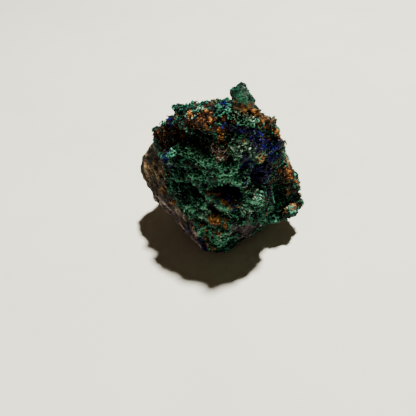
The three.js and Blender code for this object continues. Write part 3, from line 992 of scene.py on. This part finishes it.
def place_crystals(name, at, ups, lengths, material, own):
    """Short six-sided azurite prisms with a slanted tip, at all angles."""
    sides = CRYSTAL_SIDES
    count = len(at)
    tilt = unit(ups + CRYSTAL_TILT * RANDOM.normal(size=ups.shape))
    first, second = side_ways(tilt)
    turn = np.linspace(0, 2 * math.pi, sides, endpoint=False)
    wide = lengths * RANDOM.uniform(0.28, 0.5, size=count)
    flat = RANDOM.uniform(0.45, 0.9, size=count)
    circle = (first[:, None] * np.cos(turn)[:, None] * wide[:, None, None]
              + second[:, None] * np.sin(turn)[:, None] * (wide * flat)[:, None, None])
    foot = at[:, None] - tilt[:, None] * (0.35 * lengths)[:, None, None] + circle
    slope = np.cos(turn)[None, :, None] * (0.3 * lengths)[:, None, None] * tilt[:, None]
    top = at[:, None] + tilt[:, None] * (0.5 * lengths)[:, None, None] + 0.92 * circle + slope
    tip = at + tilt * (0.72 * lengths)[:, None] + 0.3 * wide[:, None] * first
    points = np.concatenate([foot, top, tip[:, None]], axis=1)
    triangles = []
    for step in range(sides):
        after = (step + 1) % sides
        triangles += [[step, after, sides + after], [step, sides + after, sides + step],
                      [sides + step, sides + after, 2 * sides]]
    triangles += [[0, step + 1, step] for step in range(1, sides - 1)]
    faces = repeated(np.array(triangles), count, 2 * sides + 1)
    # Painted light: each crystal darkest at its foot and lightest at its tip
    tone_and_painted_shade = np.tile(np.concatenate([np.full(sides, 0.1), np.full(sides, 0.7), [1.0]]), count)
    layers = {"tone_and_painted_shade": tone_and_painted_shade, "own": np.repeat(own, 2 * sides + 1)}
    new_piece(name, points.reshape(-1, 3), faces, material, layers, smooth=False)


def make_lining(material):
    """The azurite crust that lines the hollow in the right half of the face."""
    points, faces = remeshed("azurite_crust", LINING_VOXEL, LINING_SMOOTHING)
    normals = point_normals(points, faces)
    near, _, number = cell_noise(points, 0.6, seed=33)
    lift = 0.22 * (0.5 - near) + 0.14 * (number - 0.5)
    points = points + normals * lift[:, None]
    # Painted light and shade: lighter on the raised middle of each bump, darker between bumps; own is a
    # random tone
    layers = {"tone_and_painted_shade": np.clip(0.6 - near, 0, 1), "own": 0.45 * number - 0.1}
    piece = new_piece("azurite_lining", points, faces, material, layers, smooth=False)
    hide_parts("azurite_crust")
    reach = (points - points.mean(axis=0)) @ FACE_WAY
    rim = RANDOM.choice(np.flatnonzero(reach > np.quantile(reach, 0.6)), LINING_CRYSTALS, replace=False)
    lengths = RANDOM.uniform(*LINING_LENGTHS, LINING_CRYSTALS)
    own = RANDOM.uniform(*LINING_TONES, LINING_CRYSTALS)
    place_crystals("azurite_rim_crystals", points[rim], normals[rim], lengths, material, own)


def make_nodule(skin, faces, material):
    """The round limonite nodule low on the face, red-brown and of fused grains, with painted light making
    its top lighter and orange, and painted shade darkening its underside and the seams between grains.
    """
    tree = BVHTree.FromPolygons(skin.tolist(), faces.tolist())
    place = drop_on_rock(tree, [NODULE_AT])[0] - 0.3 * NODULE_RADIUS * pixel_ray(NODULE_AT)
    shape, shape_faces = ball(5)
    near, second, number = cell_noise(shape * NODULE_RADIUS + place, 0.8, seed=71)
    seams = smooth_step(0.0, 0.25, second - near)
    waves = layered_noise(shape, 0.7, 2, seed=72)
    reach = NODULE_RADIUS * (0.86 + 0.14 * seams + 0.08 * number + 0.06 * waves)
    points = place + shape * reach[:, None]
    # Painted light and shade: the top lighter and more orange, the underside darker
    painted_top_light = smooth_step(-0.1, 0.5, shape[:, 2] - 0.3 * shape[:, 1])
    layers = {
        "tone_and_painted_shade": seams,
        "own": -0.36 + 0.62 * painted_top_light + 0.3 * (number - 0.5),
        "limonite": 0.5 * painted_top_light,
        "orange": 0.35 * painted_top_light * (number > 0.35),
        "red_brown": np.ones(len(shape)),
    }
    new_piece("limonite_nodule", points, shape_faces, material, layers)


def grow(ground, material, azurite):
    """Curls, crumbs and crystals on the rock."""
    curls, crumbs, crystals = pick_spots(ground)
    lengths = RANDOM.uniform(*CURL_LENGTHS, len(curls))
    radii = RANDOM.uniform(*CURL_RADII, len(curls))
    # Each curl's lightness: a random tone with painted light and shade
    own = ground.lightness(curls, *CURL_TONES)
    place_curls("malachite_curls", ground.middles[curls], ground.ups[curls], lengths, radii,
                growth_material("malachite_curls", ["pale"], 0.45), own, ground.tones["pale"][curls])

    for number, spots in enumerate(np.array_split(crumbs, CRUMB_PIECES), 1):
        minerals = ground.minerals(spots)
        brown = minerals["limonite"] + minerals["orange"] + minerals["tan"] + minerals["red_brown"]
        radii = RANDOM.uniform(*CRUMB_RADII, len(spots))
        radii = radii * (1 - 0.35 * brown) * (1 - 0.45 * ground.tones["fine"][spots])
        # Each crumb's lightness: a random tone with painted light and shade, lighter for brown, tan and grey
        # crumbs
        own = ground.lightness(spots, *CRUMB_TONES) + 0.16 * brown
        own = own + 0.14 * (minerals["tan"] + minerals["grey"])
        place_crumbs(f"mineral_crumbs_{number}", ground.middles[spots], ground.ups[spots], radii, material,
                     own, minerals)

    lengths = RANDOM.uniform(*CRYSTAL_LENGTHS, len(crystals))
    own = RANDOM.uniform(*CRYSTAL_TONES, len(crystals))
    place_crystals("azurite_crystals", ground.middles[crystals], ground.ups[crystals], lengths, azurite, own)


# The stage, in metres and watts

FLOOR_HALF = 3.0
KEY_WAY = Vector((0.25, 0.13, 1.0)).normalized()
KEY_DISTANCE = 0.75
KEY_SIZE = 0.05
KEY_POWER = 19.2
KEY_COLOUR = (1.0, 0.975, 0.92)
FILL_PLACE = Vector((-0.45, -0.55, 0.35))
FILL_SIZE = 0.5
FILL_POWER = 0.16
FILL_COLOUR = (1.0, 0.88, 0.74)
WORLD_COLOUR = (1.0, 0.66, 0.40, 1.0)
WORLD_STRENGTH = 0.038
NEAREST_SEEN = 0.005


def make_stage():
    """A pale floor, a high key light from the right and behind, and a soft fill."""
    mesh = bpy.data.meshes.new("floor")
    corners = [(x * FLOOR_HALF, y * FLOOR_HALF, 0) for x, y in ((-1, -1), (1, -1), (1, 1), (-1, 1))]
    mesh.from_pydata(corners, [], [(0, 1, 2, 3)])
    mesh.materials.append(floor_material())
    floor = linked("floor", mesh)

    add_light("key", KEY_WAY * KEY_DISTANCE, KEY_SIZE, KEY_POWER, KEY_COLOUR)
    add_light("front_fill", FILL_PLACE, FILL_SIZE, FILL_POWER, FILL_COLOUR)

    world = bpy.data.worlds.new("studio")
    world.use_nodes = True
    background = world.node_tree.nodes["Background"]
    background.inputs["Color"].default_value = WORLD_COLOUR
    background.inputs["Strength"].default_value = WORLD_STRENGTH
    bpy.context.scene.world = world


def add_light(name, place, size, power, colour):
    """A round lamp that faces the rock."""
    light = bpy.data.lights.new(name, "AREA")
    light.shape = "DISK"
    light.size = size
    light.energy = power
    light.color = colour
    holder = linked(name, light)
    holder.location = place
    holder.rotation_euler = (-place).to_track_quat("-Z", "Y").to_euler()


def make_camera():
    """The camera of the photograph."""
    data = bpy.data.cameras.new("camera")
    data.sensor_width = SENSOR_MM
    data.lens = FOCAL_PIXELS / PICTURE_SIZE * SENSOR_MM
    data.clip_start = NEAREST_SEEN
    camera = linked("camera", data)
    turn = Matrix((VIEW_RIGHT, VIEW_UP, -VIEW_AHEAD)).transposed().to_4x4()
    camera.matrix_world = Matrix.Translation(Vector(CAMERA_AT * MM)) @ turn
    bpy.context.scene.camera = camera


make_camera()
make_stage()

skin, skin_faces, skin_layers, skin_hints = make_skin()
rock_skin = new_piece("rock_skin", skin, skin_faces, rock_material(), skin_layers)
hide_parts("rock")

crumb_material = growth_material("mineral_crumbs", OTHER_MINERALS, 0.6)
azurite_material = crystal_material()
grow(Ground(skin, skin_faces, {**skin_layers, **skin_hints}), crumb_material, azurite_material)
make_lining(azurite_material)
make_nodule(skin, skin_faces, crumb_material)
